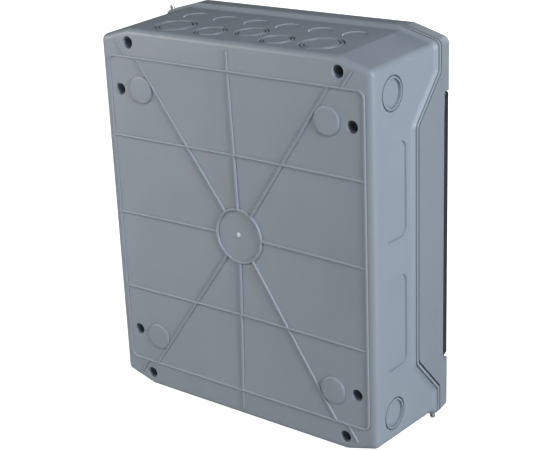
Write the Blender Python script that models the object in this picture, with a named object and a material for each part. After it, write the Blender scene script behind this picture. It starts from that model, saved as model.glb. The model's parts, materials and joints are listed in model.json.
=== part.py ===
"""Surface-mount distribution enclosure for two rows of modular devices, upright, with its door shut.

Every size is in metres. X runs across the enclosure, +Z is up and the door faces -Y. Shapes are
written as (across, depth, height): depth counts from the wall towards the door, and height from
the middle of the enclosure. place() turns those into world coordinates.
"""

import math

import bmesh
import bpy
from mathutils import Matrix, Vector

# Outline of the back box. Its walls open out a little towards the front.
REAR_HALF_WIDTH = 0.1357
REAR_HALF_HEIGHT = 0.1624
SIDE_DRAFT = 0.008
TOP_DRAFT = 0.050
CHAMFER_START = 0.106
REAR_CHAMFER_DROP = 0.0084
REAR_ROUNDING = 0.0035
WALL = 0.0028
FLOOR = 0.0032

# Joint line between box and cover: deep at the four corners, dipping along both sides.
EAR_DEPTH = 0.0905
WAIST_DEPTH = 0.0576
EAR_HEIGHT = 0.1349
WAIST_HEIGHT = 0.0992
LIP_HALF_WIDTH = 0.1390
LIP_HALF_HEIGHT = 0.1683
LIP_DROP = 0.0090
LIP_THICKNESS = 0.0036
FLARE = 0.0078
SLOPE_SHIFT = 0.389  # how far a joint-line corner moves along the side for each unit of offset

# Cover and door.
COVER_DEPTH = 0.1060
COVER_ROUNDING = 0.0028
COVER_FRONT_HALF_WIDTH = 0.1366
COVER_PLATE = 0.0030
SKIRT = 0.0025
DOOR_FRONT = 0.1070
DOOR_BACK = 0.1010
DOOR_HALF_WIDTH = 0.1360
DOOR_PLATE = 0.0030
DOOR_CHEEK = 0.0026
DOOR_BOTTOM = -0.1130
DOOR_SLANT = 0.0026
HINGE_RADIUS = 0.0031
HINGE_HEIGHT = 0.1139
HINGE_DEPTH = DOOR_FRONT - HINGE_RADIUS
STEP_DEPTH = 0.1007
STEP_HALF_HEIGHT = 0.1175
TUB_HALF_WIDTH = 0.1180
TUB_HALF_HEIGHT = 0.1040
TUB_DEPTH = 0.0780
TUB_WALL = 0.0025
WINDOW_HALF_WIDTH = 0.1080
WINDOW_HALF_HEIGHT = 0.0230

# Rear face.
RIB_PROUD = 0.0011
RIB_WIDTH = 0.0018
FIELD_HALF_WIDTH = 0.1280
FIELD_HALF_HEIGHT = 0.1387
FIELD_SINK = 0.0015
FIELD_RIB_HEIGHT = 0.0011
CROSS_RIB_HEIGHTS = (-0.0696, 0.0, 0.0696)
CENTRE_RIB_END = 0.1554
CENTRE_RING_RADIUS = 0.0230
DISC_RADIUS = 0.0120

# Fixing points, all repeated in the four corners.
COVER_POST = (0.1053, 0.1507)
WALL_HOLE = (0.1172, 0.1103)
FRAME_POST = (0.0941, 0.1121)
POST_RADIUS = 0.0072
BORE_RADIUS = 0.00475
CORNERS = ((-1, 1), (1, 1), (-1, -1), (1, -1))

# Knockouts as (across, depth, radius) on the top and bottom walls, mirrored left to right.
KNOCKOUTS = (
    (0.0, 0.0333, 0.0142),
    (0.0335, 0.0221, 0.0142),
    (0.0734, 0.0259, 0.0178),
    (0.0162, 0.0595, 0.0103),
    (0.0486, 0.0595, 0.0103),
    (0.0810, 0.0595, 0.0103),
)
SIDE_KNOCKOUT = (0.0261, 0.1322, 0.0144)
KNOCKOUT_SINK = 0.0009
SIDE_PANEL_DEPTHS = (0.0150, 0.0448)
SIDE_PANEL_HEIGHTS = (0.0150, 0.0935)
PANEL_SINK = 0.0008

# Inside: two device rails on a light steel frame, with a terminal bar above and below.
ROW_HEIGHT = 0.0625
UPRIGHT_BACK = 0.0173
UPRIGHT_FRONT = 0.0209
UPRIGHT_HALF_WIDTH = 0.0080
UPRIGHT_HALF_HEIGHT = 0.1360
RAIL_BACK = 0.0212
RAIL_HEIGHT = 0.0075
RAIL_SHEET = 0.0010
RAIL_HALF_LENGTH = 0.1100
RAIL_HALF_WIDTH = 0.0175
RAIL_TROUGH = 0.0125
BEAM_HEIGHT = 0.1280
BEAM_HALF_LENGTH = 0.1020
BEAM_HALF_WIDTH = 0.0065
BAR_HALF_LENGTH = 0.0580
BAR_HALF_WIDTH = 0.0033
BAR_BACK = 0.0273
BAR_FRONT = 0.0363
TERMINALS = 8
TERMINAL_PITCH = 0.0135
BLANK_ACROSS = (-0.1080, -0.0380)
CLEARANCE = 0.0003

REAR_Y = (DOOR_FRONT - RIB_PROUD) / 2
MIDDLE_Z = LIP_HALF_HEIGHT

GREY = (0.36, 0.40, 0.45)
INNER_GREY = (0.55, 0.57, 0.60)
DARK = (0.05, 0.06, 0.07)
STEEL = (0.62, 0.63, 0.64)
BRASS = (0.78, 0.60, 0.28)
SMOKE = (0.03, 0.06, 0.07)
BLUE = (0.10, 0.25, 0.55)
GREEN = (0.12, 0.42, 0.20)


def place(across, depth, height):
    """World position of a point given across, in depth from the wall and in height from the middle."""
    return Vector((across, REAR_Y - depth, MIDDLE_Z + height))


def clear_scene():
    for obj in list(bpy.data.objects):
        bpy.data.objects.remove(obj)


def material(name, colour, roughness=0.5, metallic=0.0, alpha=1.0):
    made = bpy.data.materials.new(name)
    made.use_nodes = True
    shader = made.node_tree.nodes["Principled BSDF"]
    shader.inputs["Base Color"].default_value = (*colour, 1.0)
    shader.inputs["Roughness"].default_value = roughness
    shader.inputs["Metallic"].default_value = metallic
    shader.inputs["Alpha"].default_value = alpha
    return made


# ---------------------------------------------------------------------------------- solids


def circle(centre, radius, sides=16):
    """Corners of a regular polygon round centre, with a flat at the top."""
    turns = [2 * math.pi * (k + 0.5) / sides for k in range(sides)]
    return [(centre[0] + radius * math.sin(t), centre[1] + radius * math.cos(t)) for t in turns]


def rectangle(first, second):
    return [(first[0], second[0]), (first[1], second[0]), (first[1], second[1]), (first[0], second[1])]


def prism(bm, axis, span, profile):
    """Adds a closed prism along axis. The profile's pairs are the other two of across, depth, height."""
    order = {
        "across": lambda along, a, b: place(along, a, b),
        "depth": lambda along, a, b: place(a, along, b),
        "height": lambda along, a, b: place(a, b, along),
    }[axis]
    ends = [[bm.verts.new(order(along, a, b)) for a, b in profile] for along in span]
    join_rings(bm, ends)


def join_rings(bm, rings):
    """Walls between successive rings of vertices, and a flat cap on the first and the last."""
    for near, far in zip(rings, rings[1:]):
        for k in range(len(near)):
            following = (k + 1) % len(near)
            bm.faces.new((near[k], near[following], far[following], far[k]))
    bm.faces.new(rings[0])
    bm.faces.new(rings[-1])


def box(bm, across, depth, height):
    prism(bm, "height", height, rectangle(across, depth))


def rod(bm, centre, span, radius, sides=16):
    """A cylinder along the depth, at centre (across, height)."""
    prism(bm, "depth", span, circle(centre, radius, sides))


def loft(bm, rings):
    join_rings(bm, [[bm.verts.new(place(*point)) for point in ring] for ring in rings])


def finish(name, bm, finish_material=None, origin=None, smooth=True):
    """Makes the object, its origin at origin if one is given."""
    bmesh.ops.recalc_face_normals(bm, faces=bm.faces[:])
    start = origin if origin is not None else Vector((0, 0, 0))
    bmesh.ops.translate(bm, verts=bm.verts[:], vec=-start)
    mesh = bpy.data.meshes.new(name)
    bm.to_mesh(mesh)
    bm.free()
    obj = bpy.data.objects.new(name, mesh)
    obj.location = start
    bpy.context.scene.collection.objects.link(obj)
    if finish_material is not None:
        mesh.materials.append(finish_material)
    if smooth:
        mesh.shade_smooth()
        mesh.set_sharp_from_angle(angle=math.radians(35))
    return obj


def combine(obj, name, bm, operation):
    """Cuts bm from obj, or joins it on, with a Boolean whose helper object stays hidden."""
    helper = finish(name, bm, smooth=False)
    helper.hide_render = True
    helper.display_type = "WIRE"
    modifier = obj.modifiers.new(name, "BOOLEAN")
    modifier.operation = operation
    modifier.object = helper
    modifier.use_self = True
    return obj


def ride_on(parent, *children):
    bpy.context.view_layer.update()
    for child in children:
        child.parent = parent
        child.matrix_parent_inverse = parent.matrix_world.inverted()


# ------------------------------------------------------------------------------- outlines


def box_half_width(depth):
    return REAR_HALF_WIDTH + SIDE_DRAFT * depth


def box_half_height(depth):
    return REAR_HALF_HEIGHT + TOP_DRAFT * depth


def front_half_width(depth):
    return COVER_FRONT_HALF_WIDTH


def lip_half_width(depth):
    return LIP_HALF_WIDTH


def lip_half_height(depth):
    return LIP_HALF_HEIGHT


def outline(ear, waist, half_width, half_height, inset=0.0, shift=0.0, drop=LIP_DROP):
    """Sixteen points round the enclosure: depth ear at the corners and waist along the sides."""
    quadrant = [
        (CHAMFER_START - 0.3 * inset, ear, half_height(ear) - inset),
        (half_width(ear) - inset, ear, half_height(ear) - drop - inset),
        (half_width(ear) - inset, ear, EAR_HEIGHT + shift),
        (half_width(waist) - inset, waist, WAIST_HEIGHT + shift),
    ]
    right = quadrant + [(x, d, -z) for x, d, z in reversed(quadrant)]
    return right + [(-x, d, z) for x, d, z in reversed(right)]


def flat_outline(depth, half_width, half_height, inset=0.0, drop=LIP_DROP):
    return outline(depth, depth, half_width, half_height, inset, drop=drop)


def seam_outline(back, half_width, half_height, inset=0.0):
    """The joint line moved back towards the wall by back, square to its slopes."""
    shift = SLOPE_SHIFT * back
    return outline(EAR_DEPTH - back, WAIST_DEPTH - back, half_width, half_height, inset, shift)


# ------------------------------------------------------------------------------- back box


def rear_ribs(bm):
    """The raised frame and the centre rib, which stand on the border and meet the wall."""
    top = -RIB_PROUD
    foot = 0.0008
    half = RIB_WIDTH / 2
    for side in (-1, 1):
        x = side * FIELD_HALF_WIDTH
        z = side * FIELD_HALF_HEIGHT
        box(bm, (x - half, x + half), (top, foot), (-FIELD_HALF_HEIGHT - half, FIELD_HALF_HEIGHT + half))
        box(bm, (-FIELD_HALF_WIDTH - half, FIELD_HALF_WIDTH + half), (top, foot), (z - half, z + half))
        ends = sorted((z * 0.99, side * CENTRE_RIB_END))
        box(bm, (-half, half), (top, foot), ends)


def field_ribs(bm):
    """The lower ribs that divide the sunken field."""
    span = (FIELD_SINK - FIELD_RIB_HEIGHT, FIELD_SINK + 0.0008)
    half = RIB_WIDTH / 2
    for z in CROSS_RIB_HEIGHTS:
        box(bm, (-FIELD_HALF_WIDTH, FIELD_HALF_WIDTH), span, (z - half, z + half))
    box(bm, (-half, half), span, (-FIELD_HALF_HEIGHT, FIELD_HALF_HEIGHT))
    rod(bm, (0, 0), span, CENTRE_RING_RADIUS, 24)
    for x, z in CORNERS:
        rod(bm, (x * FRAME_POST[0], z * FRAME_POST[1]), span, DISC_RADIUS, 20)


def posts(bm):
    """Inside: the four cover posts with their webs, the wall-hole bosses and the frame posts."""
    for x, z in CORNERS:
        across, up = x * COVER_POST[0], z * COVER_POST[1]
        rod(bm, (across, up), (0.002, 0.088), POST_RADIUS)
        box(bm, (across - 0.0012, across + 0.0012), (0.002, 0.080), sorted((up + z * 0.004, z * 0.161)))
        rod(bm, (x * WALL_HOLE[0], z * WALL_HOLE[1]), (0.001, 0.014), 0.0080)
        rod(bm, (x * FRAME_POST[0], z * FRAME_POST[1]), (0.0021, 0.0170), 0.0078)


def bores(bm):
    """Holes in the posts and bosses, from the wall side and from inside."""
    for x, z in CORNERS:
        post = (x * COVER_POST[0], z * COVER_POST[1])
        rod(bm, post, (-0.002, 0.070), BORE_RADIUS)
        rod(bm, post, (0.0735, 0.090), 0.0048)
        hole = (x * WALL_HOLE[0], z * WALL_HOLE[1])
        rod(bm, hole, (-0.002, 0.0105), BORE_RADIUS)
        rod(bm, hole, (0.0100, 0.0160), 0.0029)
        rod(bm, (x * FRAME_POST[0], z * FRAME_POST[1]), (0.0060, 0.0180), 0.0018, 12)


def wall_recesses(bm):
    """Knockouts and side panels, sunk slightly into the outer faces."""
    lean = math.atan(TOP_DRAFT)
    for end in (-1, 1):
        for across, depth, radius in KNOCKOUTS:
            for x in {-across, across}:
                level = box_half_height(depth)
                span = sorted((end * (level - KNOCKOUT_SINK), end * (level + 0.004)))
                first = len(bm.verts)
                prism(bm, "height", span, circle((x, depth), radius))
                bm.verts.ensure_lookup_table()
                turn = Matrix.Rotation(-end * lean, 3, "X")
                bmesh.ops.rotate(bm, cent=place(x, depth, end * level), matrix=turn, verts=bm.verts[first:])
    depth, up, radius = SIDE_KNOCKOUT
    for side in (-1, 1):
        outer = box_half_width(depth)
        knockout = sorted((side * (outer - KNOCKOUT_SINK), side * (outer + 0.004)))
        panel = sorted((side * (outer - PANEL_SINK), side * (outer + 0.004)))
        for z in (-1, 1):
            prism(bm, "across", knockout, circle((depth, z * up), radius))
            box(bm, panel, SIDE_PANEL_DEPTHS, sorted(z * h for h in SIDE_PANEL_HEIGHTS))


def seal_sockets(bm):
    """Blind holes in two opposite corners of the lip, square to the chamfer."""
    for side in (-1, 1):
        axis_rod(bm, side, (-0.0040, 0.0010), 0.0017)


def seal_frame(side):
    """Centre and outward direction of a sealing screw: top right and bottom left from the front."""
    across = 0.1325
    run = LIP_HALF_WIDTH - CHAMFER_START
    height = LIP_HALF_HEIGHT - LIP_DROP * (across - CHAMFER_START) / run
    outward = Vector((LIP_DROP, 0, run)).normalized()
    centre = Vector((side * across, REAR_Y - EAR_DEPTH + LIP_THICKNESS / 2, MIDDLE_Z + side * height))
    return centre, side * outward


def axis_rod(bm, side, span, radius, sides=12):
    """A cylinder along a sealing screw's axis, its span measured outwards from the chamfer."""
    centre, outward = seal_frame(side)
    length = span[1] - span[0]
    turn = Vector((0, 0, 1)).rotation_difference(outward).to_matrix().to_4x4()
    matrix = Matrix.Translation(centre + outward * (span[0] + length / 2)) @ turn
    bmesh.ops.create_cone(
        bm, cap_ends=True, segments=sides, radius1=radius, radius2=radius, depth=length, matrix=matrix
    )


def cut_rear_field(bm):
    inner = RIB_WIDTH / 2
    across = FIELD_HALF_WIDTH - inner
    height = FIELD_HALF_HEIGHT - inner
    box(bm, (-across, across), (-0.003, FIELD_SINK), (-height, height))


def make_base_shell(grey):
    bm = bmesh.new()
    wide, high, lip_wide, lip_high = box_half_width, box_half_height, lip_half_width, lip_half_height
    drop = REAR_CHAMFER_DROP
    loft(
        bm,
        [
            flat_outline(0.0, wide, high, REAR_ROUNDING, drop),
            flat_outline(REAR_ROUNDING, wide, high, 0.0, drop),
            seam_outline(FLARE, wide, high),
            seam_outline(LIP_THICKNESS, lip_wide, lip_high),
            seam_outline(0.0, lip_wide, lip_high),
            seam_outline(0.0, wide, high, WALL),
            flat_outline(FLOOR, wide, high, WALL, drop),
        ],
    )
    shell = finish("base_shell", bm, grey)
    for name, build, operation in (
        ("cut_rear_field", cut_rear_field, "DIFFERENCE"),
        ("join_rear_ribs", rear_ribs, "UNION"),
        ("join_field_ribs", field_ribs, "UNION"),
        ("join_posts", posts, "UNION"),
        ("cut_bores", bores, "DIFFERENCE"),
        ("cut_wall_recesses", wall_recesses, "DIFFERENCE"),
        ("cut_seal_sockets", seal_sockets, "DIFFERENCE"),
    ):
        helper = bmesh.new()
        build(helper)
        combine(shell, name, helper, operation)
    return shell


def make_base_seal(rubber):
    """A soft bead on the rim, just inside the cover's skirt."""
    outer = 0.0033
    inner = 0.0047
    low = -CLEARANCE
    high = -0.0019
    wide, tall = lip_half_width, lip_half_height
    bm = bmesh.new()
    rings = [
        seam_outline(low, wide, tall, outer),
        seam_outline(high, wide, tall, outer),
        seam_outline(high, wide, tall, inner),
        seam_outline(low, wide, tall, inner),
    ]
    made = [[bm.verts.new(place(*point)) for point in ring] for ring in rings]
    for near, far in zip(made, made[1:] + made[:1]):
        for k in range(len(near)):
            following = (k + 1) % len(near)
            bm.faces.new((near[k], near[following], far[following], far[k]))
    return finish("base_seal", bm, rubber)


# ----------------------------------------------------------------------------------- cover


def make_front_cover(grey):
    front, lip, tall = front_half_width, lip_half_width, lip_half_height
    bm = bmesh.new()
    loft(
        bm,
        [
            flat_outline(COVER_DEPTH, front, tall, COVER_ROUNDING),
            flat_outline(COVER_DEPTH - COVER_ROUNDING, front, tall),
            seam_outline(-CLEARANCE, lip, tall),
            seam_outline(-CLEARANCE, lip, tall, SKIRT),
            flat_outline(COVER_DEPTH - COVER_PLATE, front, tall, SKIRT),
        ],
    )
    cover = finish("front_cover", bm, grey)
    for name, build, operation in (
        ("join_cover_floor", cover_floor, "UNION"),
        ("cut_cover_front", cover_cuts, "DIFFERENCE"),
        ("cut_cover_wells", cover_wells, "DIFFERENCE"),
        ("join_hinge_lugs", hinge_lugs, "UNION"),
        ("cut_pin_bores", lug_bores, "DIFFERENCE"),
    ):
        helper = bmesh.new()
        build(helper)
        combine(cover, name, helper, operation)
    return cover


def cover_floor(bm):
    """Behind the door: the step, the device tub and the four screw wells, as solid blocks."""
    box(bm, (-0.1355, 0.1355), (STEP_DEPTH - 0.0030, COVER_DEPTH - 0.0020), (-0.1200, 0.1200))
    across = TUB_HALF_WIDTH + TUB_WALL
    height = TUB_HALF_HEIGHT + TUB_WALL
    box(bm, (-across, across), (TUB_DEPTH - TUB_WALL, STEP_DEPTH - 0.0010), (-height, height))
    for x, z in CORNERS:
        rod(bm, (x * COVER_POST[0], z * COVER_POST[1]), (0.0915, 0.1045), 0.0088)


def cover_cuts(bm):
    """The door step across the whole front, the tub and its two device windows."""
    box(bm, (-0.150, 0.150), (STEP_DEPTH, 0.120), (-STEP_HALF_HEIGHT, STEP_HALF_HEIGHT))
    across, height = TUB_HALF_WIDTH, TUB_HALF_HEIGHT
    box(bm, (-across, across), (TUB_DEPTH, 0.110), (-height, height))
    for z in (-ROW_HEIGHT, ROW_HEIGHT):
        heights = (z - WINDOW_HALF_HEIGHT, z + WINDOW_HALF_HEIGHT)
        box(bm, (-WINDOW_HALF_WIDTH, WINDOW_HALF_WIDTH), (TUB_DEPTH - 0.008, TUB_DEPTH + 0.004), heights)


def cover_wells(bm):
    for x, z in CORNERS:
        centre = (x * COVER_POST[0], z * COVER_POST[1])
        rod(bm, centre, (0.0965, 0.1120), 0.0066)
        rod(bm, centre, (0.0900, 0.0980), 0.0040)


def hinge_lugs(bm):
    for side in (-1, 1):
        span = sorted((side * 0.1244, side * 0.1286))
        prism(bm, "across", span, circle((HINGE_DEPTH, HINGE_HEIGHT), 0.0028, 14))
        box(bm, span, (STEP_DEPTH - 0.0010, HINGE_DEPTH), (HINGE_HEIGHT - 0.0026, HINGE_HEIGHT + 0.0022))


def lug_bores(bm):
    for side in (-1, 1):
        span = sorted((side * 0.1230, side * 0.1300))
        prism(bm, "across", span, circle((HINGE_DEPTH, HINGE_HEIGHT), 0.0015, 12))


def make_cover_screw(name, corner, plastic):
    """A captive quarter-turn screw: slotted head, shank and a cross bar at its tip."""
    centre = (corner[0] * COVER_POST[0], corner[1] * COVER_POST[1])
    bm = bmesh.new()
    rod(bm, centre, (0.0968, 0.1022), 0.0062, 20)
    screw = finish(name, bm, plastic, origin=place(centre[0], EAR_DEPTH, centre[1]))
    shank = bmesh.new()
    rod(shank, centre, (0.0760, 0.0975), 0.0032, 12)
    box(
        shank,
        (centre[0] - 0.0042, centre[0] + 0.0042),
        (0.0765, 0.0790),
        (centre[1] - 0.0014, centre[1] + 0.0014),
    )
    combine(screw, f"join_{name}_shank", shank, "UNION")
    slot = bmesh.new()
    box(
        slot,
        (centre[0] - 0.0008, centre[0] + 0.0008),
        (0.1004, 0.1040),
        (centre[1] - 0.0080, centre[1] + 0.0080),
    )
    return combine(screw, f"cut_{name}_slot", slot, "DIFFERENCE")


def make_sealing_screw(name, side, steel):
    """A short screw in the lip whose head is drilled for a sealing wire."""
    centre, outward = seal_frame(side)
    bm = bmesh.new()
    axis_rod(bm, side, (-0.0035, 0.0010), 0.0013)
    screw = finish(name, bm, steel, origin=centre)
    head = bmesh.new()
    axis_rod(head, side, (0.0004, 0.0056), 0.0021)
    combine(screw, f"join_{name}_head", head, "UNION")
    hole = bmesh.new()
    middle = centre + outward * 0.0036
    turn = Matrix.Rotation(math.radians(90), 4, "X")
    bmesh.ops.create_cone(
        hole,
        cap_ends=True,
        segments=10,
        radius1=0.0008,
        radius2=0.0008,
        depth=0.010,
        matrix=Matrix.Translation(middle) @ turn,
    )
    return combine(screw, f"cut_{name}_eye", hole, "DIFFERENCE")


# ------------------------------------------------------------------------------------ door


def door_profile():
    """The door's section: rounded over the hinge at the top, slanted at the bottom."""
    steps = 8
    arc = [math.pi * k / steps for k in range(steps + 1)]
    top = [
        (HINGE_DEPTH + HINGE_RADIUS * math.cos(t), HINGE_HEIGHT + HINGE_RADIUS * math.sin(t)) for t in arc
    ]
    return top + [(DOOR_BACK - 0.0002, DOOR_BOTTOM), (DOOR_FRONT, DOOR_BOTTOM + DOOR_SLANT)]


def door_hollow(bm):
    across = DOOR_HALF_WIDTH - DOOR_CHEEK
    low = DOOR_BOTTOM + DOOR_CHEEK
    high = HINGE_HEIGHT - HINGE_RADIUS - 0.0005
    box(bm, (-across, across), (DOOR_BACK - 0.002, DOOR_FRONT - DOOR_PLATE), (low, high))
    for side in (-1, 1):
        notch = sorted((side * 0.1240, side * 0.1290))
        box(bm, notch, (DOOR_BACK - 0.002, DOOR_FRONT + 0.002), (HINGE_HEIGHT - 0.0056, HINGE_HEIGHT + 0.006))


def door_bores(bm):
    for side in (-1, 1):
        span = sorted((side * 0.1215, side * 0.1380))
        prism(bm, "across", span, circle((HINGE_DEPTH, HINGE_HEIGHT), 0.0015, 12))


def make_window_door(smoke):
    bm = bmesh.new()
    prism(bm, "across", (-DOOR_HALF_WIDTH, DOOR_HALF_WIDTH), door_profile())
    door = finish("window_door", bm, smoke, origin=place(0, HINGE_DEPTH, HINGE_HEIGHT))
    for name, build in (("cut_door_hollow", door_hollow), ("cut_door_bores", door_bores)):
        helper = bmesh.new()
        build(helper)
        combine(door, name, helper, "DIFFERENCE")
    return door


def make_hinge_pin(name, side, steel):
    bm = bmesh.new()
    span = sorted((side * 0.1220, side * 0.1352))
    prism(bm, "across", span, circle((HINGE_DEPTH, HINGE_HEIGHT), 0.0012, 12))
    return finish(name, bm, steel, origin=place(side * 0.1286, HINGE_DEPTH, HINGE_HEIGHT))


def make_door_seal(rubber):
    """A flat gasket round the tub, under the door plate."""
    bm = bmesh.new()
    depth = (STEP_DEPTH + CLEARANCE, DOOR_FRONT - DOOR_PLATE - 0.0006)
    outer_across, outer_up = TUB_HALF_WIDTH + 0.0028, TUB_HALF_HEIGHT + 0.0022
    box(bm, (-outer_across, outer_across), depth, (-outer_up, outer_up))
    seal = finish("door_seal", bm, rubber)
    inner = bmesh.new()
    across, up = TUB_HALF_WIDTH + 0.0008, TUB_HALF_HEIGHT + 0.0004
    box(inner, (-across, across), (0.09, 0.12), (-up, up))
    return combine(seal, "cut_door_seal", inner, "DIFFERENCE")


def make_blanking_strip(name, row, plastic):
    """A blanking strip over the first four places of a row's window."""
    bm = bmesh.new()
    front = (TUB_DEPTH + CLEARANCE, TUB_DEPTH + 0.0022)
    box(bm, BLANK_ACROSS, front, (row - 0.0243, row + 0.0243))
    strip = finish(name, bm, plastic)
    tongue = bmesh.new()
    across = (BLANK_ACROSS[0] + 0.0006, BLANK_ACROSS[1] - 0.0006)
    box(tongue, across, (TUB_DEPTH - 0.0040, TUB_DEPTH + 0.0010), (row - 0.0226, row + 0.0226))
    return combine(strip, f"join_{name}_tongue", tongue, "UNION")


# ---------------------------------------------------------------------------- inner frame


def make_wall_plug(name, corner, plastic):
    centre = (corner[0] * WALL_HOLE[0], corner[1] * WALL_HOLE[1])
    bm = bmesh.new()
    rod(bm, centre, (0.0143, 0.0163), 0.0072)
    plug = finish(name, bm, plastic)
    stem = bmesh.new()
    rod(stem, centre, (0.0108, 0.0150), 0.0025, 12)
    return combine(plug, f"join_{name}_stem", stem, "UNION")


def make_upright(name, side, steel):
    x = side * FRAME_POST[0]
    bm = bmesh.new()
    across = (x - UPRIGHT_HALF_WIDTH, x + UPRIGHT_HALF_WIDTH)
    box(bm, across, (UPRIGHT_BACK, UPRIGHT_FRONT), (-UPRIGHT_HALF_HEIGHT, UPRIGHT_HALF_HEIGHT))
    upright = finish(name, bm, steel)
    holes = bmesh.new()
    for end in (-1, 1):
        rod(holes, (x, end * FRAME_POST[1]), (0.015, 0.023), 0.0022, 12)
        rod(holes, (x, end * ROW_HEIGHT), (0.015, 0.023), 0.0016, 12)
        rod(holes, (x, end * BEAM_HEIGHT), (0.015, 0.023), 0.0016, 12)
    return combine(upright, f"cut_{name}_holes", holes, "DIFFERENCE")


def rail_profile(row):
    """Section of a top-hat rail, 35 mm wide and 7.5 mm high, open towards the front."""
    back, sheet = RAIL_BACK, RAIL_SHEET
    front = back + RAIL_HEIGHT
    half = [
        (back, RAIL_TROUGH + sheet),
        (front - sheet, RAIL_TROUGH + sheet),
        (front - sheet, RAIL_HALF_WIDTH),
        (front, RAIL_HALF_WIDTH),
        (front, RAIL_TROUGH),
        (back + sheet, RAIL_TROUGH),
    ]
    lower = [(depth, -height) for depth, height in reversed(half)]
    return [(depth, row + height) for depth, height in half + lower]


def make_rail(name, row, steel):
    bm = bmesh.new()
    prism(bm, "across", (-RAIL_HALF_LENGTH, RAIL_HALF_LENGTH), rail_profile(row))
    rail = finish(name, bm, steel)
    holes = bmesh.new()
    for side in (-1, 1):
        rod(holes, (side * FRAME_POST[0], row), (0.018, 0.026), 0.0016, 12)
    return combine(rail, f"cut_{name}_holes", holes, "DIFFERENCE")


def make_screw(name, centre, head, shank, radii, steel, slot=0.0006):
    """A slotted pan-head screw along the depth. head and shank are depth spans; radii are theirs."""
    bm = bmesh.new()
    rod(bm, centre, head, radii[0], 12)
    screw = finish(name, bm, steel)
    body = bmesh.new()
    rod(body, centre, (shank[0], head[0] + 0.0004), radii[1], 10)
    combine(screw, f"join_{name}_shank", body, "UNION")
    groove = bmesh.new()
    box(
        groove,
        (centre[0] - 0.006, centre[0] + 0.006),
        (head[1] - 0.0007, head[1] + 0.002),
        (centre[1] - slot / 2, centre[1] + slot / 2),
    )
    return combine(screw, f"cut_{name}_slot", groove, "DIFFERENCE")


def make_terminal_beam(name, end, plastic):
    """The cross beam that carries a terminal bar, held to both uprights."""
    up = end * BEAM_HEIGHT
    heights = (up - BEAM_HALF_WIDTH, up + BEAM_HALF_WIDTH)
    bm = bmesh.new()
    box(bm, (-BEAM_HALF_LENGTH, BEAM_HALF_LENGTH), (RAIL_BACK, 0.0240), heights)
    beam = finish(name, bm, plastic)
    middle = bmesh.new()
    box(middle, (-0.0660, 0.0660), (0.0230, BAR_BACK - CLEARANCE), (heights[0] + 0.0006, heights[1] - 0.0006))
    for side in (-1, 1):
        across = sorted((side * (BAR_HALF_LENGTH + CLEARANCE), side * 0.0640))
        box(middle, across, (0.0260, 0.0330), (up - 0.0050, up + 0.0050))
    combine(beam, f"join_{name}_cradle", middle, "UNION")
    holes = bmesh.new()
    for side in (-1, 1):
        rod(holes, (side * FRAME_POST[0], up), (0.018, 0.028), 0.0016, 12)
    return combine(beam, f"cut_{name}_holes", holes, "DIFFERENCE")


def terminal_places():
    return [(k - (TERMINALS - 1) / 2) * TERMINAL_PITCH for k in range(TERMINALS)]


def make_terminal_bar(name, end, brass):
    up = end * BEAM_HEIGHT
    bm = bmesh.new()
    heights = (up - BAR_HALF_WIDTH, up + BAR_HALF_WIDTH)
    box(bm, (-BAR_HALF_LENGTH, BAR_HALF_LENGTH), (BAR_BACK, BAR_FRONT), heights)
    bar = finish(name, bm, brass)
    holes = bmesh.new()
    for x in terminal_places():
        prism(holes, "height", (up - 0.006, up + 0.006), circle((x, BAR_BACK + 0.0036), 0.0024, 10))
    combine(bar, f"cut_{name}_wire_ways", holes, "DIFFERENCE")
    sockets = bmesh.new()
    for x in terminal_places():
        rod(sockets, (x, up), (BAR_FRONT - 0.0040, BAR_FRONT + 0.001), 0.0018, 10)
    return combine(bar, f"cut_{name}_sockets", sockets, "DIFFERENCE")


def make_inner_frame(steel, fastener, plastic, brass):
    """Everything bolted inside the back box."""
    made = []
    for side, hand in ((-1, "left"), (1, "right")):
        made.append(make_upright(f"frame_upright_{hand}", side, steel))
    for end, level in ((1, "upper"), (-1, "lower")):
        row = end * ROW_HEIGHT
        up = end * BEAM_HEIGHT
        made.append(make_rail(f"device_rail_{level}", row, steel))
        made.append(make_terminal_beam(f"terminal_beam_{level}", end, plastic[level]))
        made.append(make_terminal_bar(f"terminal_bar_{level}", end, brass))
        for side, hand in ((-1, "left"), (1, "right")):
            x = side * FRAME_POST[0]
            for kind, height, seat, tip, radii in (
                ("frame", end * FRAME_POST[1], UPRIGHT_FRONT, 0.0080, (0.0036, 0.0014)),
                ("rail", row, RAIL_BACK + RAIL_SHEET, 0.0178, (0.0032, 0.0012)),
                ("beam", up, 0.0240, 0.0178, (0.0032, 0.0012)),
            ):
                head = (seat + CLEARANCE, seat + CLEARANCE + 0.0020)
                name = f"{kind}_screw_{level}_{hand}"
                made.append(make_screw(name, (x, height), head, (tip, seat), radii, fastener))
        for number, x in enumerate(terminal_places(), 1):
            head = (BAR_FRONT + CLEARANCE, BAR_FRONT + CLEARANCE + 0.0016)
            shank = (BAR_FRONT - 0.0030, BAR_FRONT)
            name = f"terminal_screw_{level}_{number}"
            made.append(make_screw(name, (x, up), head, shank, (0.0025, 0.0014), fastener, 0.0008))
    return made


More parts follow.
